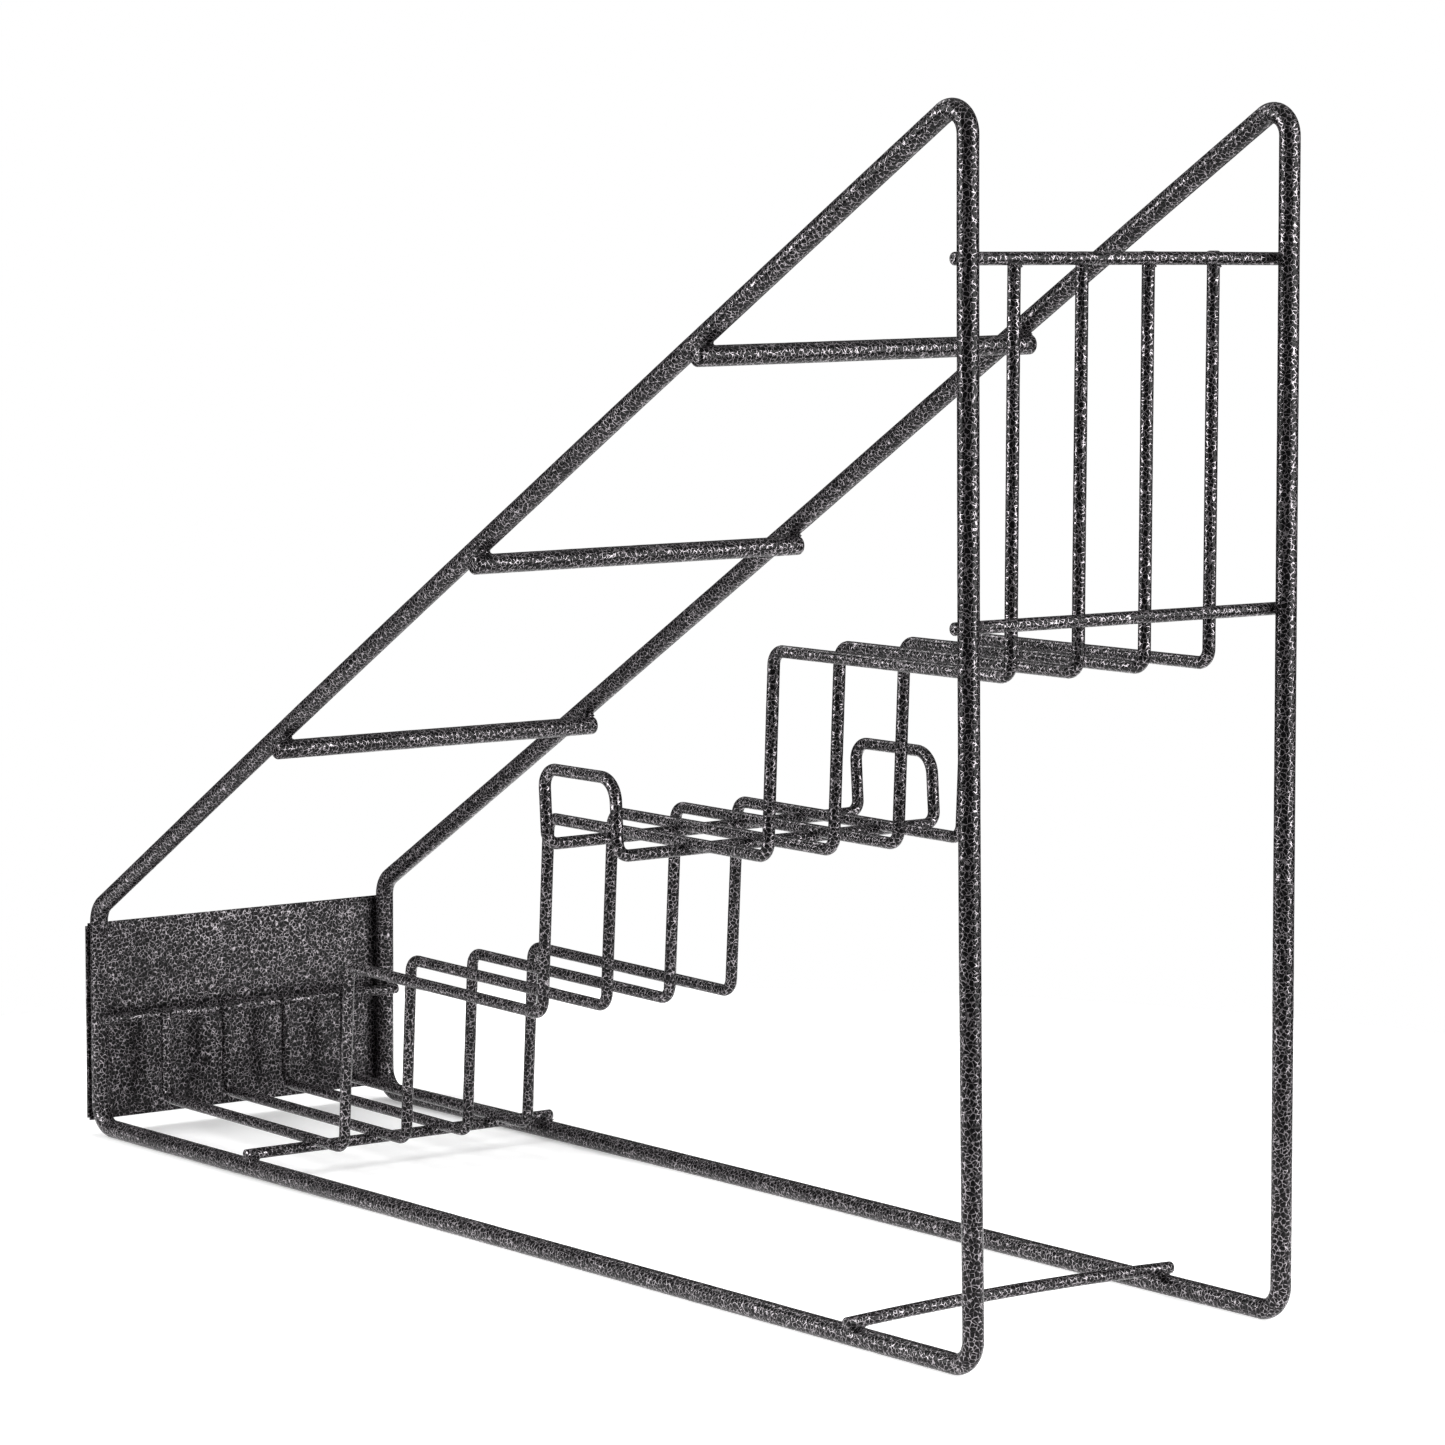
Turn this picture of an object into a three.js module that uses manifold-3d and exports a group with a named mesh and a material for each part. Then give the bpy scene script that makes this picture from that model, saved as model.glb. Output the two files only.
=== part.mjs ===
// Four-tier stepped wire rack: two bent-rod side frames, three rod bars across the slope, lighter
// cross bars at the back, front and base, four stair-shaped shelf wires, a side-stop ring under the
// third tier and a sheet-metal front panel, all joined by small ring welds.
// Millimetres, +Z up. -Y is the front (the panel side), +X is the rack's right-hand side.
// Inside this file y = 0 is the centre line of the front legs; the last lines centre the rack.

import * as THREE from "three";
import { mergeVertices } from "three/addons/utils/BufferGeometryUtils.js";
import Module from "manifold-3d";

// Stock sizes. A rod's section is a polygon whose distance across flats is its diameter.
const ROD = 8;
const WIRE = 4.85;
const SHEET = 1.5;
const GAP = 0.3; // clearance between pieces that touch on the real rack
const ROD_SIDES = 12;
const WIRE_SIDES = 8;

// Side frames: a closed loop with a level base, a back leg that leans slightly forward,
// a straight slope and a short front leg. Corners are where the straight centre lines meet.
const FRAME_SPACING = 154; // between the two frames' centre lines
const FRAME_DEPTH = 602; // front leg to back leg, along the base
const FRAME_PEAK = { y: 597, z: 459 };
const FRONT_LEG_TOP = 102.8;
const FRAME_BEND = 10.5; // bend radii are measured to the centre line
const FRAME_BEND_STEPS = 5;

// Rod bars under the slope, measured up the slope from the top of the front leg.
const SLOPE_BARS = ["lower", "middle", "upper"];
const SLOPE_BAR_START = 182;
const SLOPE_BAR_PITCH = 169;
const SLOPE_BAR_LENGTH = 166;
const SLOPE_BAR_SHIFT = 2.7; // the bars are welded on slightly to the right of centre

// Light cross bars. The base wires are cut flush with the outer sides of the frames.
const BASE_WIRE_LENGTH = FRAME_SPACING + ROD;
const UPRIGHT_BAR_LENGTH = 158; // the back bars and the front bar
const BACK_BARS = { upper: 395, lower: 265 }; // height along the back leg
const FRONT_BAR_HEIGHT = 52.7;
const BASE_WIRES = { front: 127, rear: 536.5 }; // distance behind the front legs

// Stair wires.
const STAIR_WIRES = 4;
const STAIR_SPACING = 32.2;
const STAIR_BEND = 5.5;
const WIRE_BEND_STEPS = 3;
const TIER_PITCH = 146.2; // from one tier's front corner to the next
const TIER_RISE = 78.2;
const TOP_TIER_HEIGHT = 249.6;
const SECOND_TIER_FRONT = 159.2;
const TIER_DROP = { 2: 2.4, 3: 1.1, 4: 0 }; // how far a tier falls towards its rear
const RISER_LEAN = { 1: 4.5, 2: 4.5, 3: 3.4 }; // how far forward a tier's riser has its foot
const STAIR_BACK = 588.3;
const STAIR_TOP = 401.5;
const STAIR_FRONT_TOP = 55;
const SET_DOWN = 1.9; // how far a stair wire sinks into each bar that it is welded to

// Side-stop ring under the third tier: two cross wires whose ends turn up and join.
const RING_FRONT = 349;
const RING_REAR = 396;
const RING_HALF_WIDTH = 79.4;
const RING_SHIFT = 1.2; // the ring is welded on slightly to the right of centre
const RING_TOP = 197.5;
const RING_LEAN = 2.2; // the tops of the side stops lean this far forward
const RING_BEND = 6;

// Front panel, on the outer face of the front legs.
const PANEL = { width: 162, bottom: 6, top: 95.5 };

// Ring welds.
const ROD_WELD_RADIUS = 3.5;
const WIRE_WELD_RADIUS = 2.4;
const WELD_SIDES = 12;

const rodR = ROD / 2;
const wireR = WIRE / 2;
const wasm = await Module();
wasm.setup();

const coat = (color, roughness) =>
  new THREE.MeshStandardMaterial({ color, roughness, metalness: 0.35 });
const finishes = {
  rod: coat(0x39393b, 0.38),
  wire: coat(0x343436, 0.38),
  panel: coat(0x303032, 0.45),
  weld: coat(0x2c2c2e, 0.42),
};

function mesh(name, geometry, finish) {
  const made = new THREE.Mesh(geometry, finishes[finish].clone());
  made.name = name;
  return made;
}

// A rod's centre line: straight runs joined by circular bends. It has a station at each end and
// at the steps of each bend, and none along a straight run.
class RodPath extends THREE.Curve {
  constructor(corners, bendRadius = 0, bendSteps = 0) {
    super();
    this.stations = [];
    const last = corners.length - 1;
    corners.forEach((corner, i) => {
      if (i === 0 || i === last) {
        const from = corners[i === 0 ? 0 : last - 1];
        const to = corners[i === 0 ? 1 : last];
        this.stations.push({ point: corner, tangent: to.clone().sub(from).normalize() });
      } else {
        this.addBend(corners[i - 1], corner, corners[i + 1], bendRadius, bendSteps);
      }
    });
  }

  addBend(before, corner, after, radius, steps) {
    const incoming = corner.clone().sub(before).normalize();
    const outgoing = after.clone().sub(corner).normalize();
    const turn = incoming.angleTo(outgoing);
    const axis = incoming.clone().cross(outgoing).normalize();
    const toCentre = axis.clone().cross(incoming);
    const start = corner.clone().addScaledVector(incoming, -radius * Math.tan(turn / 2));
    const centre = start.clone().addScaledVector(toCentre, radius);
    for (let step = 0; step <= steps; step++) {
      const angle = (turn * step) / steps;
      const spoke = start.clone().sub(centre).applyAxisAngle(axis, angle);
      const tangent = incoming.clone().applyAxisAngle(axis, angle);
      this.stations.push({ point: centre.clone().add(spoke), tangent });
    }
  }

  at(u) {
    return this.stations[Math.round(u * (this.stations.length - 1))];
  }

  getPointAt(u, target = new THREE.Vector3()) {
    return target.copy(this.at(u).point);
  }

  getTangentAt(u, target = new THREE.Vector3()) {
    return target.copy(this.at(u).tangent);
  }
}

// A regular polygon with flats facing along the section's own axes.
function section(diameter, sides) {
  const cornerRadius = diameter / 2 / Math.cos(Math.PI / sides);
  const corners = [];
  for (let i = 0; i < sides; i++) {
    const angle = ((i + 0.5) * 2 * Math.PI) / sides;
    corners.push(new THREE.Vector2(cornerRadius * Math.cos(angle), cornerRadius * Math.sin(angle)));
  }
  return new THREE.Shape(corners);
}

function sweep(path, diameter, sides) {
  const steps = path.stations.length - 1;
  return new THREE.ExtrudeGeometry(section(diameter, sides), { steps, extrudePath: path });
}

// A straight rod centred on its own origin, lying along the given direction.
function straightRod(direction, length, diameter, sides) {
  const half = direction.clone().multiplyScalar(length / 2);
  return sweep(new RodPath([half.clone().negate(), half]), diameter, sides);
}

// A loop's two ends meet in a butt joint with the usual gap between them.
function buttJoint(corners, direction) {
  const start = corners[0].clone().addScaledVector(direction, GAP / 2);
  const end = corners[0].clone().addScaledVector(direction, -GAP / 2);
  return [start, ...corners.slice(1), end];
}

function solidOf(geometry) {
  const bare = geometry.clone();
  bare.deleteAttribute("normal");
  bare.deleteAttribute("uv");
  const merged = mergeVertices(bare, 1e-4);
  const vertProperties = new Float32Array(merged.attributes.position.array);
  const triVerts = new Uint32Array(merged.index.array);
  return new wasm.Manifold(new wasm.Mesh({ numProp: 3, vertProperties, triVerts }));
}

function geometryOf(solid) {
  const { vertProperties, triVerts } = solid.getMesh();
  const geometry = new THREE.BufferGeometry();
  geometry.setAttribute("position", new THREE.BufferAttribute(vertProperties, 3));
  geometry.setIndex(new THREE.BufferAttribute(triVerts, 1));
  geometry.computeVertexNormals();
  return geometry;
}

// The collar of metal round the contact of two crossing rods. The bar runs along X below the
// contact, and the rod it is welded to runs along Y above it. The collar clears both by GAP.
function weldRing(barDiameter, barSides, radius) {
  const reach = 4 * radius;
  const alongX = new THREE.Vector3(1, 0, 0);
  const alongY = new THREE.Vector3(0, 1, 0);
  const bar = straightRod(alongX, reach, barDiameter + 2 * GAP, barSides);
  bar.translate(0, 0, -(barDiameter + GAP) / 2);
  const rod = straightRod(alongY, reach, ROD + 2 * GAP, ROD_SIDES);
  rod.translate(0, 0, (ROD + GAP) / 2);
  const disc = new THREE.CylinderGeometry(radius, radius, barDiameter, WELD_SIDES);
  disc.rotateX(Math.PI / 2);
  return geometryOf(solidOf(disc).subtract(solidOf(bar)).subtract(solidOf(rod)));
}

const rodWeld = weldRing(ROD, ROD_SIDES, ROD_WELD_RADIUS);
const wireWeld = weldRing(WIRE, WIRE_SIDES, WIRE_WELD_RADIUS);
const sides = { right: FRAME_SPACING / 2, left: -FRAME_SPACING / 2 };

// A pair of ring welds, one at each side frame. Turning them about X points them the right way.
function weldPair(parent, barName, geometry, y, z, turn) {
  for (const [side, x] of Object.entries(sides)) {
    const ring = mesh(`weld_${barName}_${side}`, geometry, "weld");
    ring.position.set(x, y, z);
    ring.rotation.x = turn;
    parent.add(ring);
  }
}

function sideFrame(side) {
  const corners = [
    new THREE.Vector3(0, FRAME_DEPTH / 2, rodR),
    new THREE.Vector3(0, FRAME_DEPTH, rodR),
    new THREE.Vector3(0, FRAME_PEAK.y, FRAME_PEAK.z),
    new THREE.Vector3(0, 0, FRONT_LEG_TOP),
    new THREE.Vector3(0, 0, rodR),
  ];
  const loop = buttJoint(corners, new THREE.Vector3(0, 1, 0));
  const path = new RodPath(loop, FRAME_BEND, FRAME_BEND_STEPS);
  const frame = mesh(`${side}_side_frame`, sweep(path, ROD, ROD_SIDES), "rod");
  frame.position.x = sides[side];
  return frame;
}

const alongX = new THREE.Vector3(1, 0, 0);
const rodBar = straightRod(alongX, SLOPE_BAR_LENGTH, ROD, ROD_SIDES);
const uprightBar = straightRod(alongX, UPRIGHT_BAR_LENGTH, WIRE, WIRE_SIDES);
const baseWire = straightRod(alongX, BASE_WIRE_LENGTH, WIRE, WIRE_SIDES);

// The slope's own frame starts at the top of the front leg, with y up the slope.
function slopeBars() {
  const slope = new THREE.Group();
  slope.position.z = FRONT_LEG_TOP;
  slope.rotation.x = Math.atan2(FRAME_PEAK.z - FRONT_LEG_TOP, FRAME_PEAK.y);
  SLOPE_BARS.forEach((place, i) => {
    const name = `slope_bar_${place}`;
    const up = SLOPE_BAR_START + i * SLOPE_BAR_PITCH;
    const bar = mesh(name, rodBar, "rod");
    bar.position.set(SLOPE_BAR_SHIFT, up, -(ROD + GAP));
    slope.add(bar);
    weldPair(slope, name, rodWeld, up, -(ROD + GAP) / 2, 0);
  });
  return slope;
}

// The back legs' own frame starts at the foot of the leg, with z up the leg.
function backBars() {
  const back = new THREE.Group();
  back.position.set(0, FRAME_DEPTH, rodR);
  back.rotation.x = Math.atan2(FRAME_DEPTH - FRAME_PEAK.y, FRAME_PEAK.z - rodR);
  for (const [place, height] of Object.entries(BACK_BARS)) {
    const name = `back_bar_${place}`;
    const bar = mesh(name, uprightBar, "wire");
    bar.position.set(0, -(rodR + GAP + wireR), height);
    back.add(bar);
    weldPair(back, name, wireWeld, -(rodR + GAP / 2), height, -Math.PI / 2);
  }
  return back;
}

const frontBarDepth = rodR + GAP + wireR;

function frontBar() {
  const group = new THREE.Group();
  const bar = mesh("front_bar", uprightBar, "wire");
  bar.position.set(0, frontBarDepth, FRONT_BAR_HEIGHT);
  group.add(bar);
  weldPair(group, "front_bar", wireWeld, rodR + GAP / 2, FRONT_BAR_HEIGHT, Math.PI / 2);
  return group;
}

const baseWireHeight = ROD + GAP + wireR;

function baseWires() {
  const group = new THREE.Group();
  for (const [place, y] of Object.entries(BASE_WIRES)) {
    const name = `base_wire_${place}`;
    const bar = mesh(name, baseWire, "wire");
    bar.position.set(0, y, baseWireHeight);
    group.add(bar);
    weldPair(group, name, wireWeld, y, ROD + GAP / 2, Math.PI);
  }
  return group;
}

const tierHeight = (tier) => TOP_TIER_HEIGHT - (4 - tier) * TIER_RISE;
const tierFront = (tier) => SECOND_TIER_FRONT + (tier - 2) * TIER_PITCH;
const tierRear = (tier) => tierFront(tier + 1) - RISER_LEAN[tier];
const tierRearHeight = (tier) => tierHeight(tier) - TIER_DROP[tier];

// One stair wire in the YZ plane, from its top end behind the fourth tier down to the front bar.
function stairProfile() {
  const firstHeight = baseWireHeight + WIRE - SET_DOWN;
  const front = frontBarDepth + WIRE - SET_DOWN;
  return [
    [STAIR_BACK, STAIR_TOP],
    [STAIR_BACK, tierRearHeight(4)],
    [tierFront(4), tierHeight(4)],
    [tierRear(3), tierRearHeight(3)],
    [tierFront(3), tierHeight(3)],
    [tierRear(2), tierRearHeight(2)],
    [tierFront(2), tierHeight(2)],
    [tierRear(1), firstHeight],
    [front, firstHeight],
    [front, STAIR_FRONT_TOP],
  ].map(([y, z]) => new THREE.Vector3(0, y, z));
}

const stairX = (i) => ((STAIR_WIRES - 1) / 2 - i) * STAIR_SPACING;

function stairWires() {
  const group = new THREE.Group();
  const path = new RodPath(stairProfile(), STAIR_BEND, WIRE_BEND_STEPS);
  const geometry = sweep(path, WIRE, WIRE_SIDES);
  for (let i = 0; i < STAIR_WIRES; i++) {
    const wire = mesh(`stair_wire_${i + 1}`, geometry, "wire");
    wire.position.x = stairX(i);
    group.add(wire);
  }
  return group;
}

// Cuts the seats that the stair wires sink into, with the usual gap round each wire.
function cutSeats(root, names) {
  root.updateMatrixWorld(true);
  const path = new RodPath(stairProfile(), STAIR_BEND, WIRE_BEND_STEPS);
  const wires = [];
  for (let i = 0; i < STAIR_WIRES; i++) {
    const wire = sweep(path, WIRE + 2 * GAP, WIRE_SIDES).translate(stairX(i), 0, 0);
    wires.push(solidOf(wire.applyMatrix4(root.matrixWorld)));
  }
  const cutter = wires.reduce((joined, wire) => joined.add(wire));
  for (const name of names) {
    const bar = root.getObjectByName(name);
    const placed = solidOf(bar.geometry.clone().applyMatrix4(bar.matrixWorld));
    const cut = geometryOf(placed.subtract(cutter));
    bar.geometry = cut.applyMatrix4(bar.matrixWorld.clone().invert());
  }
}

// The ring's two cross wires run under the third tier, which falls slightly towards its rear.
function guardRing() {
  const slope = TIER_DROP[3] / (tierRear(3) - tierFront(3));
  const tierAt = (y) => tierHeight(3) - slope * (y - tierFront(3));
  const front = tierAt(RING_FRONT) - WIRE + SET_DOWN;
  const rear = tierAt(RING_REAR) - WIRE + SET_DOWN;
  const half = RING_HALF_WIDTH;
  const corners = [
    new THREE.Vector3(0, RING_FRONT, front),
    new THREE.Vector3(half, RING_FRONT, front),
    new THREE.Vector3(half, RING_FRONT - RING_LEAN, RING_TOP),
    new THREE.Vector3(half, RING_REAR - RING_LEAN, RING_TOP),
    new THREE.Vector3(half, RING_REAR, rear),
    new THREE.Vector3(-half, RING_REAR, rear),
    new THREE.Vector3(-half, RING_REAR - RING_LEAN, RING_TOP),
    new THREE.Vector3(-half, RING_FRONT - RING_LEAN, RING_TOP),
    new THREE.Vector3(-half, RING_FRONT, front),
  ];
  const path = new RodPath(buttJoint(corners, alongX), RING_BEND, WIRE_BEND_STEPS);
  const ring = mesh("guard_ring", sweep(path, WIRE, WIRE_SIDES), "wire");
  ring.position.x = RING_SHIFT;
  return ring;
}

function frontPanel() {
  const height = PANEL.top - PANEL.bottom;
  const panel = mesh("front_panel", new THREE.BoxGeometry(PANEL.width, SHEET, height), "panel");
  panel.position.set(0, -(rodR + GAP + SHEET / 2), PANEL.bottom + height / 2);
  return panel;
}

const rack = new THREE.Group();
rack.add(sideFrame("right"), sideFrame("left"));
rack.add(slopeBars(), backBars(), frontBar(), baseWires());
rack.add(stairWires(), guardRing(), frontPanel());
const barNames = ["back_bar_upper", "back_bar_lower", "front_bar", "base_wire_front"];
cutSeats(rack, [...barNames, "guard_ring"]);

// Centre the rack front to back, from the panel's outer face to the back of the back legs.
const panelFace = -(rodR + GAP + SHEET);
const backFace = FRAME_DEPTH + rodR;
rack.position.y = -(panelFace + backFace) / 2;

const part = new THREE.Group();
part.add(rack);
export default part;
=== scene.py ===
"""Four-tier stepped wire rack, welded from bent rod and wire, in a dark hammered powder coat.

Metres, +Z up, -Y is the front, +X is the rack's right-hand side. Every rod is swept again, smooth
and round, along the centre line of the CAD node that it stands for.
"""

import math

import bmesh
import bpy
from mathutils import Matrix, Quaternion, Vector, noise


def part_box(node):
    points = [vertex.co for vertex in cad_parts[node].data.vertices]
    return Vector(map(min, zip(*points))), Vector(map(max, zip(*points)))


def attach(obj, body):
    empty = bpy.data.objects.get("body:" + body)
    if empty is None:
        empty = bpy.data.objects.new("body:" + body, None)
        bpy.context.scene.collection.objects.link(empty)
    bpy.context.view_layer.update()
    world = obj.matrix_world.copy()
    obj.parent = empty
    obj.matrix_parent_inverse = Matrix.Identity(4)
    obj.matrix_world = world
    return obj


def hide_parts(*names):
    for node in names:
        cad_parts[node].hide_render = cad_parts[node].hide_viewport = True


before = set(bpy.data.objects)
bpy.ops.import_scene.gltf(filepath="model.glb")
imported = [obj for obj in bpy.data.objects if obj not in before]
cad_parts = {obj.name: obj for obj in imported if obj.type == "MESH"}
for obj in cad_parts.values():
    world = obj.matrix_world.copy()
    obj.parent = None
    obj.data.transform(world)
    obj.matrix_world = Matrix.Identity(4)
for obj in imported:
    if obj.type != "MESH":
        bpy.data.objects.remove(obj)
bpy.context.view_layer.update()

MM = 0.001
UP = Vector((0, 0, 1))
ACROSS = Vector((1, 0, 0))
LENGTHWISE = Vector((0, 1, 0))

# Stock, and the clearance that the CAD leaves between pieces that are welded together.
ROD_RADIUS = 4.0 * MM
WIRE_RADIUS = 2.425 * MM
CAD_GAP = 0.3 * MM

# Side frames. Corners are where the straight centre lines meet.
PEAK_FORWARD = 5 * MM  # the back leg's top is this far in front of its foot
PEAK_HEIGHT = 459 * MM
FRONT_LEG_TOP = 102.8 * MM
FRAME_DEPTH = 602 * MM
FRAME_BEND = 10.5 * MM
PEAK_BEND = FRAME_BEND - 1.8 * MM

# Stair wires. A tier's floor drops towards its rear, and the riser in front of the next tier leans.
STAIR_BEND = 5.5 * MM
TIER_PITCH = 146.2 * MM
TIER_RISE = 78.2 * MM
TOP_TIER_HEIGHT = 249.6 * MM
SECOND_TIER_FRONT = 159.2 * MM
TIER_DROP = {2: 2.4 * MM, 3: 1.1 * MM, 4: 0}
RISER_LEAN = {1: 4.5 * MM, 2: 4.5 * MM, 3: 3.4 * MM}
STAIR_FRONT_TOP = 55 * MM
FLOOR_RISE = 1.4 * MM  # of the lowest tier, towards its front

# Guard ring, whose two ends stand up as side stops. The left stop is higher and longer.
RING_BEND = 7 * MM
RING_REAR_BEND = 9.5 * MM
RING_FOOT_BEND = 5 * MM
RING_LEAN = 2.2 * MM
LEFT_STOP_LIFT = 1.2 * MM
LEFT_STOP_EXTRA = 1.8 * MM

# How far the welded rack is out of true. The side frames bulge apart part way up the slope, and
# their slopes hang low towards both ends. A leg's three numbers say how far it stands out: at its
# foot, and then in proportion to its height and to the square of it. A bar's three numbers are its
# lift at its left end, middle and right end.
BULGE = 1.7 * MM
LEG_OUT = {"right": (-1.95 * MM, 6.0 * MM, -3.3 * MM), "left": (-0.6 * MM, 1.25 * MM, 0)}
TOP_SAG = {"right": 1.2 * MM, "left": 0.5 * MM}
FRONT_SAG = 0.4 * MM
BAR_LIFT = {
    "slope_bar_upper": (1.4 * MM, 0.35 * MM, -0.6 * MM),
    "slope_bar_middle": (0.9 * MM, 0.35 * MM, -0.25 * MM),
    "slope_bar_lower": (0.1 * MM, -0.1 * MM, -0.3 * MM),
    "back_bar_upper": (-0.5 * MM, 0.1 * MM, 0.4 * MM),
    "base_wire_rear": (-0.9 * MM, 0.6 * MM, -1.3 * MM),
    "base_wire_front": (-0.6 * MM, -0.5 * MM, -0.5 * MM),
}

# Welds: the radius of the ball that rolls round a contact, and how much that radius varies.
SLOPE_BAR_FILLET = 0.7 * MM
CROSS_WIRE_FILLET = 0.6 * MM
STAIR_FILLET = 0.5 * MM
FILLET_SWELL = 0.55
BACK_WELD_DROP = 0.7 * MM  # keeps the top welds of the stair wires below the bar's top
FRONT_WELD_DROP = 0.4 * WIRE_RADIUS
WELD_COVER = 1.02  # factor on both radii, which keeps the side frames' welds outside their rods

# Hand-made look: how far a rod wanders off its line, and how unevenly the coat has built up.
NOISE_SEED = 7
WANDER = 0.08 * MM
COAT_BUILD = 0.012
END_ROUNDING = 0.3  # of a rod's radius

# Hammered coat.
CELL = 1.8 * MM
CELL_COLOUR = (0.0045, 0.0043, 0.0046)
SILVER = (0.47, 0.435, 0.46)
# Painted shade: the panel's veins are this much darker than the rods', though both wear the same
# coat.
PANEL_PAINTED_SHADE = 0.84
DOME_HEIGHT = 0.06 * MM
COAT_IOR = 1.22

# Front panel.
PANEL_CORNER = 1.2 * MM
PANEL_EDGE = 0.35 * MM

# Mesh detail.
ROD_SIDES = 28
WIRE_SIDES = 20
RUN_STEP = 6 * MM
BEND_STEP = math.radians(7.5)
END_RINGS = 4
WELD_ROUND = 28
WELD_ACROSS = 6

noise.seed_set(NOISE_SEED)

frame_low, frame_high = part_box("right_side_frame")
front_y = frame_low.y + ROD_RADIUS
base_z = frame_low.z + ROD_RADIUS


# ---------------------------------------------------------------- out of true

def splay(side, place):
    """How far a side frame's rod stands out from its true plane, to its own side.

    The left base rod bulges as its slope does, and the right base rod does not.
    """
    back = min(1, max(0, (place.y - front_y) / FRAME_DEPTH))
    height = (place.z - base_z) / PEAK_HEIGHT
    on_base = side == "right" and place.z < 3 * ROD_RADIUS
    bulge = 0 if on_base else BULGE * math.sin(math.pi * back ** 0.65) ** 2
    foot, slope, bow = LEG_OUT[side]
    return bulge + (foot + slope * height + bow * height ** 2) * back ** 2


def sag(side, place):
    """How far the upper half of a side frame hangs below its true line."""
    if place.z < 0.5 * FRONT_LEG_TOP:
        return 0
    back = (place.y - front_y) / FRAME_DEPTH
    return TOP_SAG[side] * max(0, (back - 0.6) / 0.4) ** 2 + FRONT_SAG * max(0, 1 - back / 0.35)


def lift(name, share):
    """How far a cross bar stands above its true line, with share running from 0 to 1 along it."""
    left, middle, right = BAR_LIFT.get(name, (0, 0, 0))
    straight_part = left + (right - left) * share
    arch = middle - (left + right) / 2
    return straight_part + arch * 4 * share * (1 - share)


def middle_of(name):
    low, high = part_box(name)
    return (low + high) / 2


def bar_at(name, x):
    """The centre line of a cross bar where it passes the place x."""
    low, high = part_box(name)
    place = middle_of(name) + UP * lift(name, (x - low.x) / (high.x - low.x))
    place.x = x
    return place


# ---------------------------------------------------------------- meshes

def add_object(name, bm, replaced, material):
    """Turns a bmesh into a shaded piece that rides on the rack."""
    bmesh.ops.recalc_face_normals(bm, faces=bm.faces)
    mesh = bpy.data.meshes.new(name)
    bm.to_mesh(mesh)
    bm.free()
    for face in mesh.polygons:
        face.use_smooth = True
    mesh.materials.append(material)
    piece = bpy.data.objects.new(name, mesh)
    bpy.context.scene.collection.objects.link(piece)
    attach(piece, "root")
    if replaced:
        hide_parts(*replaced)
    return piece


def straight(start, end):
    """Stations from start towards end, without the end itself."""
    steps = max(1, math.ceil((end - start).length / RUN_STEP))
    return [start.lerp(end, i / steps) for i in range(steps)]


def bend(before, corner, after, radius):
    """Stations of the circular bend at a corner, both tangent points included."""
    incoming = (corner - before).normalized()
    outgoing = (after - corner).normalized()
    turn = incoming.angle(outgoing)
    axis = incoming.cross(outgoing).normalized()
    start = corner - incoming * radius * math.tan(turn / 2)
    centre = start + axis.cross(incoming) * radius
    steps = max(4, math.ceil(turn / BEND_STEP))
    spoke = start - centre
    return [centre + Quaternion(axis, turn * i / steps) @ spoke for i in range(steps + 1)]


def centre_line(corners, radius, closed=False):
    """Straight runs joined by circular bends of one radius, or of one radius for each corner."""
    count = len(corners)
    radii = radius if isinstance(radius, list) else [radius] * count
    bends = []
    for i, corner in enumerate(corners):
        if closed or 0 < i < count - 1:
            bends.append(bend(corners[i - 1], corner, corners[(i + 1) % count], radii[i]))
        else:
            bends.append([corner])
    stations = []
    for i, arc in enumerate(bends):
        stations += arc[:-1]
        if i + 1 < len(bends) or closed:
            stations += straight(arc[-1], bends[(i + 1) % len(bends)][0])
        else:
            stations.append(arc[-1])
    return stations


def wander(point, seed):
    """The slight waviness of hand-bent, coated rod."""
    spot = point * 9 + Vector((seed * 3.7, seed * 1.3, seed * 5.1))
    return noise.noise_vector(spot) * WANDER


def thickness(point, seed):
    """The slightly uneven build of the coat, as a factor on the radius."""
    return 1 + COAT_BUILD * noise.noise(point * 130 + Vector((seed, 2 * seed, 3 * seed)))


def frames_along(stations, closed):
    """A direction and a transported side vector at each station."""
    count = len(stations)
    tangents = []
    for i in range(count):
        before = stations[i - 1] if closed or i else stations[0]
        after = stations[(i + 1) % count] if closed or i + 1 < count else stations[-1]
        tangents.append((after - before).normalized())
    helper = ACROSS if abs(tangents[0].dot(ACROSS)) < 0.9 else UP
    sides = [tangents[0].cross(helper).normalized()]
    for i in range(1, count):
        turned = tangents[i - 1].rotation_difference(tangents[i]) @ sides[-1]
        sides.append((turned - tangents[i] * turned.dot(tangents[i])).normalized())
    if closed:
        last = tangents[-1].rotation_difference(tangents[0]) @ sides[-1]
        twist = math.atan2(last.cross(sides[0]).dot(tangents[0]), last.dot(sides[0]))
        for i in range(count):
            sides[i] = Quaternion(tangents[i], twist * i / count) @ sides[i]
    return tangents, sides


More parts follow.
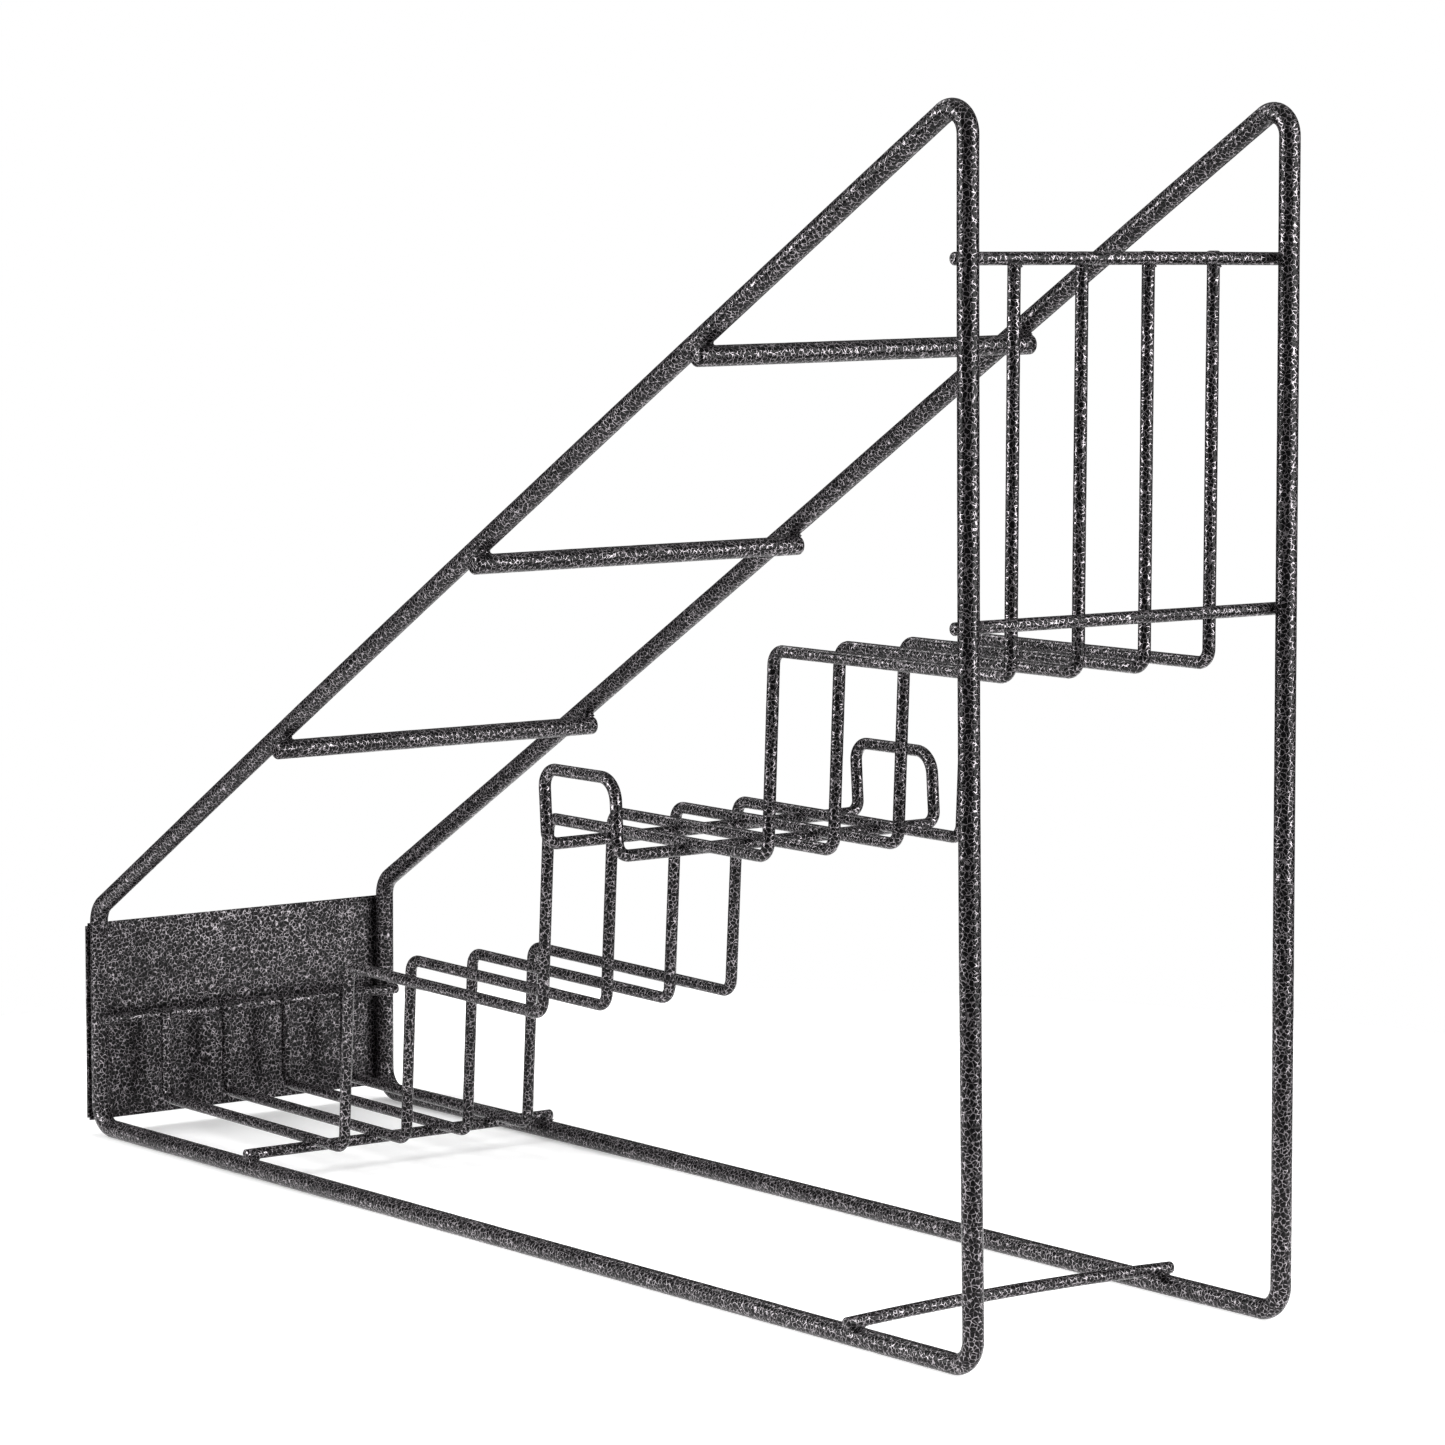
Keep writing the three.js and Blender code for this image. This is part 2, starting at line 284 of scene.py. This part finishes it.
def sweep(bm, stations, radius, sides_count, seed, closed=False):
    """A round rod along the stations, added to the bmesh."""
    tangents, sides = frames_along(stations, closed)
    rings = []
    for point, along, side in zip(stations, tangents, sides):
        rings.append((point + wander(point, seed), along, side, radius * thickness(point, seed)))
    if not closed:
        soft = END_ROUNDING * radius
        for end, inward in ((0, 1), (-1, -1)):
            point, along, side, full = rings[end]
            rounded = []
            for i in range(1, END_RINGS + 1):
                angle = math.pi / 2 * i / END_RINGS
                place = point + along * inward * soft * (1 - math.sin(angle))
                rounded.append((place, along, side, full - soft * (1 - math.cos(angle))))
            start = point + along * inward * soft
            if end == 0:
                rings[0] = (start, along, side, full)
                rings = list(reversed(rounded)) + rings
            else:
                rings[-1] = (start, along, side, full)
                rings = rings + rounded
    loops = []
    for point, along, side, full in rings:
        other = along.cross(side)
        loop = []
        for i in range(sides_count):
            angle = 2 * math.pi * i / sides_count
            spoke = side * math.cos(angle) + other * math.sin(angle)
            loop.append(bm.verts.new(point + spoke * full))
        loops.append(loop)
    pairs = list(zip(loops, loops[1:]))
    if closed:
        pairs.append((loops[-1], loops[0]))
    for near, far in pairs:
        for i in range(sides_count):
            j = (i + 1) % sides_count
            bm.faces.new((near[i], near[j], far[j], far[i]))
    if not closed:
        bm.faces.new(list(reversed(loops[0])))
        bm.faces.new(loops[-1])


def rod_piece(name, stations, radius, seed, replaced, material, closed=False):
    sides_count = ROD_SIDES if radius > WIRE_RADIUS else WIRE_SIDES
    bm = bmesh.new()
    sweep(bm, stations, radius, sides_count, seed, closed)
    add_object(name, bm, replaced, material)


def weld_fillet(bm, low, high, low_axis, high_axis, low_radius, high_radius, size, seed):
    """The weld metal round the contact of two crossing rods.

    A ball of the fillet's size rolls round the contact, touching both rods. low and high are the
    nearest points of the two centre lines, and the axes are the directions of those lines.
    """
    rise = (high - low).length
    normal = (high - low).normalized()
    # Each ring of points starts between the rods and then follows the groove that the ball leaves.
    place = Matrix((low_axis, high_axis, normal)).transposed().to_4x4()
    place.translation = low
    middle = (low_radius + rise - high_radius) / 2
    rings = []
    for i in range(WELD_ROUND):
        angle = 2 * math.pi * i / WELD_ROUND
        swell = noise.noise(Vector((math.cos(angle) * 1.3, math.sin(angle) * 1.3, seed * 7.7)))
        ball = size * (1 + FILLET_SWELL * swell)
        top = low_radius + ball
        bottom = rise - high_radius - ball
        share = 0.5 - 0.5 * math.cos(2 * angle)
        height = top + (bottom - top) * share
        x = math.sqrt(max(0, (high_radius + ball) ** 2 - (rise - height) ** 2))
        y = math.sqrt(max(0, (low_radius + ball) ** 2 - height ** 2))
        x *= math.copysign(1, math.cos(angle))
        y *= math.copysign(1, math.sin(angle))
        centre = Vector((x, y, height))
        to_low = -Vector((0, y, height)).normalized()
        to_high = -Vector((x, 0, height - rise)).normalized()
        ring = [Vector((0.3 * x, 0.3 * y, middle))]
        for j in range(WELD_ACROSS + 1):
            ring.append(centre + to_low.slerp(to_high, j / WELD_ACROSS) * ball * 1.03)
        rings.append([bm.verts.new(place @ spot) for spot in ring])
    for near, far in zip(rings, rings[1:] + rings[:1]):
        for j in range(len(near)):
            k = (j + 1) % len(near)
            bm.faces.new((near[j], near[k], far[k], far[j]))


# ---------------------------------------------------------------- finish

def node(tree, kind, **inputs):
    made = tree.nodes.new(kind)
    for name, value in inputs.items():
        made.inputs[name].default_value = value
    return made


def map_range(tree, source, low, high, to_low, to_high):
    """The source eased from one value to another as it runs from low to high."""
    made = tree.nodes.new("ShaderNodeMapRange")
    made.interpolation_type = "SMOOTHSTEP"
    for socket, value in zip(("From Min", "From Max", "To Min", "To Max"),
                             (low, high, to_low, to_high)):
        made.inputs[socket].default_value = value
    tree.links.new(source, made.inputs["Value"])
    return made.outputs["Result"]


def combine(tree, operation, a, b):
    """Two values put together by a maths node."""
    made = tree.nodes.new("ShaderNodeMath")
    made.operation = operation
    tree.links.new(a, made.inputs[0])
    tree.links.new(b, made.inputs[1])
    return made.outputs["Value"]


def hammered_coat(name, silver=1):
    """Dark powder coat that has drawn into glossy domed cells with silver-grey veins between."""
    material = bpy.data.materials.new(name)
    material.use_nodes = True
    tree = material.node_tree
    tree.nodes.clear()
    link = tree.links.new
    output = tree.nodes.new("ShaderNodeOutputMaterial")
    shader = node(tree, "ShaderNodeBsdfPrincipled", IOR=COAT_IOR)
    link(shader.outputs["BSDF"], output.inputs["Surface"])

    coords = tree.nodes.new("ShaderNodeTexCoord")
    warp = node(tree, "ShaderNodeTexNoise", Scale=1 / (1.6 * CELL), Detail=2)
    link(coords.outputs["Object"], warp.inputs["Vector"])
    centred = tree.nodes.new("ShaderNodeVectorMath")
    centred.operation = "SUBTRACT"
    centred.inputs[1].default_value = (0.5, 0.5, 0.5)
    link(warp.outputs["Color"], centred.inputs[0])
    warped = tree.nodes.new("ShaderNodeVectorMath")
    warped.operation = "MULTIPLY_ADD"
    warped.inputs[1].default_value = (0.75 * CELL,) * 3
    link(centred.outputs["Vector"], warped.inputs[0])
    link(coords.outputs["Object"], warped.inputs[2])

    cells = node(tree, "ShaderNodeTexVoronoi", Scale=1 / CELL)
    cells.feature = "DISTANCE_TO_EDGE"
    link(warped.outputs["Vector"], cells.inputs["Vector"])
    distance = cells.outputs["Distance"]

    # Veins run along the cells' edges, break off here and there, and fade from patch to patch.
    edge = map_range(tree, distance, 0.01, 0.08, 1, 0)
    broken = node(tree, "ShaderNodeTexNoise", Scale=1 / (0.8 * CELL), Detail=2)
    link(coords.outputs["Object"], broken.inputs["Vector"])
    vein = combine(tree, "MULTIPLY", edge,
                   map_range(tree, broken.outputs["Fac"], 0.4, 0.56, 0.12, 1))
    patches = node(tree, "ShaderNodeTexNoise", Scale=38, Detail=2)
    link(coords.outputs["Object"], patches.inputs["Vector"])
    vein = combine(tree, "MULTIPLY", vein,
                   map_range(tree, patches.outputs["Fac"], 0.3, 0.7, 0.72, 1))

    colour = tree.nodes.new("ShaderNodeMix")
    colour.data_type = "RGBA"
    colour.inputs["A"].default_value = (*CELL_COLOUR, 1)
    colour.inputs["B"].default_value = (*(silver * part for part in SILVER), 1)
    link(vein, colour.inputs["Factor"])
    link(colour.outputs["Result"], shader.inputs["Base Color"])
    link(map_range(tree, vein, 0, 1, 0, 1), shader.inputs["Metallic"])
    link(map_range(tree, vein, 0, 1, 0.15, 0.30), shader.inputs["Roughness"])

    bump = node(tree, "ShaderNodeBump", Strength=1, Distance=DOME_HEIGHT)
    link(map_range(tree, distance, 0, 0.28, 0, 1), bump.inputs["Height"])
    link(bump.outputs["Normal"], shader.inputs["Normal"])
    return material


rod_coat = hammered_coat("rod_coat")
wire_coat = hammered_coat("wire_coat")
# The panel's coat is a darker copy of the rods' coat: painted shade.
panel_coat = hammered_coat("panel_coat", PANEL_PAINTED_SHADE)
weld_coat = hammered_coat("weld_coat")


# ---------------------------------------------------------------- rods and wires

def side_frame(side, seed):
    name = f"{side}_side_frame"
    x = middle_of(name).x
    back_y = front_y + FRAME_DEPTH
    corners = [
        Vector((x, front_y, base_z)),
        Vector((x, back_y, base_z)),
        Vector((x, back_y - PEAK_FORWARD, PEAK_HEIGHT)),
        Vector((x, front_y, FRONT_LEG_TOP)),
    ]
    stations = centre_line(corners, [FRAME_BEND, FRAME_BEND, PEAK_BEND, FRAME_BEND], closed=True)
    outward = math.copysign(1, x) * ACROSS
    stations = [spot + outward * splay(side, spot) - UP * sag(side, spot) for spot in stations]
    rod_piece(f"{name}_rod", stations, ROD_RADIUS, seed, [name], rod_coat, closed=True)


side_frame("right", 1)
side_frame("left", 2)


def cross_bar(name, radius, material, seed):
    """A bar across the rack, along the middle of its CAD node and lifted off it a little."""
    low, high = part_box(name)
    middle = middle_of(name)
    start = Vector((low.x, middle.y, middle.z))
    end = Vector((high.x, middle.y, middle.z))
    stations = straight(start, end) + [end]
    last = len(stations) - 1
    stations = [spot + UP * lift(name, i / last) for i, spot in enumerate(stations)]
    rod_piece(f"{name}_rod", stations, radius, seed, [name], material)


for seed, place in enumerate(("lower", "middle", "upper"), 11):
    cross_bar(f"slope_bar_{place}", ROD_RADIUS, rod_coat, seed)
LIGHT_BARS = ("back_bar_upper", "back_bar_lower", "front_bar", "base_wire_front", "base_wire_rear")
for seed, name in enumerate(LIGHT_BARS, 21):
    cross_bar(name, WIRE_RADIUS, wire_coat, seed)


def stair_corners(name):
    """Where a stair wire's straight runs meet, from its back end down to its front end."""
    low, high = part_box(name)
    x = middle_of(name).x
    back = high.y - WIRE_RADIUS
    front = low.y + WIRE_RADIUS
    floor = low.z + WIRE_RADIUS
    height = {tier: TOP_TIER_HEIGHT - (4 - tier) * TIER_RISE for tier in (2, 3, 4)}
    start = {tier: front_y + SECOND_TIER_FRONT + (tier - 2) * TIER_PITCH for tier in (2, 3, 4)}
    outline = [
        (back, high.z),
        (back, height[4] - TIER_DROP[4]),
        (start[4], height[4]),
        (start[4] - RISER_LEAN[3], height[3] - TIER_DROP[3]),
        (start[3], height[3]),
        (start[3] - RISER_LEAN[2], height[2] - TIER_DROP[2]),
        (start[2], height[2]),
        (start[2] - RISER_LEAN[1], floor),
        (front, floor + FLOOR_RISE),
        (front, STAIR_FRONT_TOP),
    ]
    return [Vector((x, y, z)) for y, z in outline]


for number in range(1, 5):
    name = f"stair_wire_{number}"
    stations = centre_line(stair_corners(name), STAIR_BEND)
    rod_piece(f"{name}_rod", stations, WIRE_RADIUS, 30 + number, [name], wire_coat)


def guard_ring():
    """A loop under the third tier, with both ends turned up as side stops."""
    low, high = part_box("guard_ring")
    inset = Vector((WIRE_RADIUS,) * 3)
    low, high = low + inset, high - inset
    lean = -RING_LEAN * LENGTHWISE
    low.y += RING_LEAN  # the stops' tops lean to the box's front, and their feet stand behind it
    left_front = low.y - LEFT_STOP_EXTRA
    left_foot = low.z + LEFT_STOP_LIFT
    corners = [
        Vector((high.x, low.y, low.z)),
        Vector((high.x, low.y, high.z)) + lean,
        Vector((high.x, high.y, high.z)) + lean,
        Vector((high.x, high.y, low.z)),
        Vector((low.x, high.y, left_foot)),
        Vector((low.x, high.y, high.z)) + lean,
        Vector((low.x, left_front, high.z)) + lean,
        Vector((low.x, left_front, left_foot)),
    ]
    foot, front, rear = RING_FOOT_BEND, RING_BEND, RING_REAR_BEND
    bends = [foot, front, rear, foot, foot, rear, front, foot]
    stations = centre_line(corners, bends, closed=True)
    rod_piece("guard_ring_wire", stations, WIRE_RADIUS, 41, ["guard_ring"],
              wire_coat, closed=True)


guard_ring()


# ---------------------------------------------------------------- front panel

def through_sheet(edge):
    """Whether an edge of the panel runs through its thickness, rather than along a face."""
    return abs((edge.verts[0].co - edge.verts[1].co).normalized().y) > 0.9


def front_panel():
    """A flat sheet with rounded corners and softened edges."""
    low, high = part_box("front_panel")
    bm = bmesh.new()
    bmesh.ops.create_cube(bm, size=1, matrix=Matrix.Translation(middle_of("front_panel"))
                          @ Matrix.Diagonal((*(high - low), 1)))
    corners = [edge for edge in bm.edges if through_sheet(edge)]
    bmesh.ops.bevel(bm, geom=corners, offset=PANEL_CORNER, segments=4, affect="EDGES")
    rim = [edge for edge in bm.edges if not through_sheet(edge) and edge.calc_face_angle() > 0.8]
    bmesh.ops.bevel(bm, geom=rim, offset=PANEL_EDGE, segments=3, affect="EDGES")
    piece = add_object("front_panel_sheet", bm, ["front_panel"], panel_coat)
    for face in piece.data.polygons:
        face.use_smooth = face.area < 1e-4


front_panel()


# ---------------------------------------------------------------- welds

def frame_welds():
    """The welds of the cross bars to the side frames, one piece for each CAD weld."""
    weld_nodes = sorted(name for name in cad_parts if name.startswith("weld_"))
    for seed, name in enumerate(weld_nodes):
        bar_name, side = name.removeprefix("weld_").rsplit("_", 1)
        on_slope = bar_name.startswith("slope")
        bar_radius = ROD_RADIUS if on_slope else WIRE_RADIUS
        size = SLOPE_BAR_FILLET if on_slope else CROSS_WIRE_FILLET
        contact = middle_of(name)
        true_bar = middle_of(bar_name)
        true_bar.x = contact.x
        outward = (contact - true_bar).normalized()
        true_rod = true_bar + outward * (bar_radius + ROD_RADIUS + CAD_GAP)
        sideways = ACROSS * math.copysign(1, contact.x) * splay(side, contact)
        rod = true_rod + sideways - UP * sag(side, contact)
        bar = bar_at(bar_name, contact.x) + sideways
        rod_axis = (rod - bar).normalized().cross(ACROSS)
        bm = bmesh.new()
        weld_fillet(bm, bar, rod, ACROSS, rod_axis, bar_radius * WELD_COVER,
                    ROD_RADIUS * WELD_COVER, size, seed)
        add_object(f"{name}_fillet", bm, [name], weld_coat)


def stair_welds():
    """The welds of the four stair wires to the bars and the ring that they cross."""
    ring_low, ring_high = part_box("guard_ring")
    ring_front = ring_low.y + WIRE_RADIUS + RING_LEAN
    ring_rear = ring_high.y - WIRE_RADIUS
    for number in range(1, 5):
        corners = stair_corners(f"stair_wire_{number}")
        x = corners[0].x
        third_tier = corners[4].z
        lowest_tier = corners[-3].z
        upper = bar_at("back_bar_upper", x) - UP * BACK_WELD_DROP
        lower = bar_at("back_bar_lower", x)
        front = bar_at("front_bar", x)
        base = bar_at("base_wire_front", x)
        crossings = [
            (upper, Vector((x, corners[0].y, upper.z)), UP),
            (lower, Vector((x, corners[0].y, lower.z)), UP),
            (front, Vector((x, corners[-1].y, front.z - FRONT_WELD_DROP)), UP),
            (base, Vector((x, base.y, lowest_tier)), LENGTHWISE),
        ]
        to_left = (ring_high.x - x) / (ring_high.x - ring_low.x)
        ring_z = ring_low.z + WIRE_RADIUS + LEFT_STOP_LIFT * to_left
        for y in (ring_front - LEFT_STOP_EXTRA * to_left, ring_rear):
            crossings.append((Vector((x, y, ring_z)), Vector((x, y, third_tier)), LENGTHWISE))
        bm = bmesh.new()
        for seed, (bar, wire, wire_axis) in enumerate(crossings, 61 + 10 * number):
            weld_fillet(bm, bar, wire, ACROSS, wire_axis, WIRE_RADIUS, WIRE_RADIUS,
                        STAIR_FILLET, seed)
        add_object(f"stair_wire_{number}_fillets", bm, [], weld_coat)


frame_welds()
stair_welds()


# ---------------------------------------------------------------- studio

TOWARDS_CAMERA = Vector((0.608, 0.787, 0)).normalized()
LIT_POINT = Vector((0, 0, 0.3))


def softbox(name, azimuth, distance, height, size, radiance):
    """A soft rectangular light that faces the rack.

    The azimuth is measured from the camera's, in degrees. The power follows from how bright the
    softbox looks.
    """
    turned = Quaternion(UP, math.radians(azimuth)) @ TOWARDS_CAMERA
    place = turned * distance + UP * height
    width, tall = size
    data = bpy.data.lights.new(name, "AREA")
    data.shape = "RECTANGLE"
    data.size, data.size_y = width, tall
    data.energy = radiance * math.pi * width * tall
    light = bpy.data.objects.new(name, data)
    light.location = place
    light.rotation_mode = "QUATERNION"
    light.rotation_quaternion = (LIT_POINT - place).to_track_quat("-Z", "Y")
    light.visible_camera = False
    bpy.context.scene.collection.objects.link(light)


softbox("softbox_right", azimuth=-77, distance=1.35, height=0.64, size=(1.05, 1.3), radiance=6.3)
softbox("softbox_left", azimuth=60, distance=1.35, height=0.54, size=(1.1, 1.2), radiance=5.8)
softbox("softbox_back", azimuth=-145, distance=0.9, height=1.2, size=(0.5, 0.5), radiance=3.2)


def studio_world():
    """A dim room with a brighter ceiling, in front of a white backdrop."""
    world = bpy.data.worlds.new("studio")
    bpy.context.scene.world = world
    world.use_nodes = True
    tree = world.node_tree
    tree.nodes.clear()
    link = tree.links.new
    output = tree.nodes.new("ShaderNodeOutputWorld")
    mix = tree.nodes.new("ShaderNodeMixShader")
    room = node(tree, "ShaderNodeBackground", Strength=1)
    backdrop = node(tree, "ShaderNodeBackground", Strength=1, Color=(1, 1, 1, 1))
    rays = tree.nodes.new("ShaderNodeLightPath")
    link(rays.outputs["Is Camera Ray"], mix.inputs["Fac"])
    link(room.outputs["Background"], mix.inputs[1])
    link(backdrop.outputs["Background"], mix.inputs[2])
    link(mix.outputs["Shader"], output.inputs["Surface"])
    coords = tree.nodes.new("ShaderNodeTexCoord")
    facing = tree.nodes.new("ShaderNodeVectorMath")
    facing.operation = "DOT_PRODUCT"
    facing.inputs[1].default_value = TOWARDS_CAMERA
    link(coords.outputs["Generated"], facing.inputs[0])
    parts = tree.nodes.new("ShaderNodeSeparateXYZ")
    link(coords.outputs["Generated"], parts.inputs["Vector"])
    walls = map_range(tree, facing.outputs["Value"], -0.6, 0.7, 0.06, 0.01)
    ceiling = map_range(tree, parts.outputs["Z"], 0.35, 0.9, 0, 0.5)
    link(combine(tree, "ADD", walls, ceiling), room.inputs["Color"])


studio_world()


# Painted shadow: the floor glows less round the middle of the lowest tier, standing in for the
# shade that the panel and the wires cast there.
FLOOR_RADIUS = 0.62
FLOOR_BELOW = 0.1 * MM
FLOOR_GLOW = 0.72
PAINTED_SHADOW_GLOW = 0.34
PAINTED_SHADOW_CENTRE = (0, -0.225, 0)
PAINTED_SHADOW_RADIUS = 0.1
PAINTED_SHADOW_FADE_OUT = 0.2


def floor():
    """A round white table that glows a little, so that its edge melts into the backdrop, and glows
    less in a painted shadow round the front bay.
    """
    bm = bmesh.new()
    bmesh.ops.create_circle(bm, cap_ends=True, segments=96, radius=FLOOR_RADIUS)
    mesh = bpy.data.meshes.new("floor")
    bm.to_mesh(mesh)
    bm.free()
    made = bpy.data.objects.new("floor", mesh)
    made.location = UP * -FLOOR_BELOW
    bpy.context.scene.collection.objects.link(made)
    material = bpy.data.materials.new("white_paper")
    material.use_nodes = True
    tree = material.node_tree
    tree.nodes.clear()
    link = tree.links.new
    output = tree.nodes.new("ShaderNodeOutputMaterial")
    added = tree.nodes.new("ShaderNodeAddShader")
    paper = node(tree, "ShaderNodeBsdfDiffuse", Color=(0.8, 0.8, 0.8, 1))
    glow = tree.nodes.new("ShaderNodeEmission")
    coords = tree.nodes.new("ShaderNodeTexCoord")
    away = tree.nodes.new("ShaderNodeVectorMath")
    away.operation = "DISTANCE"
    away.inputs[1].default_value = PAINTED_SHADOW_CENTRE
    link(coords.outputs["Object"], away.inputs[0])
    # Painted shadow: the glow dims towards the middle of the front bay, where the panel and the
    # wires shade the floor.
    fade = map_range(tree, away.outputs["Value"], PAINTED_SHADOW_RADIUS, PAINTED_SHADOW_FADE_OUT, PAINTED_SHADOW_GLOW, FLOOR_GLOW)
    link(fade, glow.inputs["Strength"])
    link(paper.outputs["BSDF"], added.inputs[0])
    link(glow.outputs["Emission"], added.inputs[1])
    link(added.outputs["Shader"], output.inputs["Surface"])
    mesh.materials.append(material)


floor()
bpy.context.scene.view_settings.view_transform = "Standard"


# ---------------------------------------------------------------- camera

CAMERA_PLACE = Vector((1.23932, 1.66019, 0.42070))
CAMERA_TARGET = Vector((-0.02638, 0.02301, 0.20696))
CAMERA_ROLL = math.radians(0.139)
SENSOR_WIDTH = 36  # mm, as are Blender's lens lengths
LENS = 126.825


def camera():
    """Stands behind the rack's right side, a little below its top, and looks slightly down."""
    ahead = (CAMERA_TARGET - CAMERA_PLACE).normalized()
    right = ahead.cross(UP).normalized()
    top = right.cross(ahead)
    cosine, sine = math.cos(CAMERA_ROLL), math.sin(CAMERA_ROLL)
    right, top = right * cosine + top * sine, top * cosine - right * sine
    data = bpy.data.cameras.new("camera")
    data.sensor_width = SENSOR_WIDTH
    data.lens = LENS
    made = bpy.data.objects.new("camera", data)
    turned = Matrix((right, top, -ahead)).transposed().to_4x4()
    turned.translation = CAMERA_PLACE
    made.matrix_world = turned
    bpy.context.scene.collection.objects.link(made)
    bpy.context.scene.camera = made


camera()
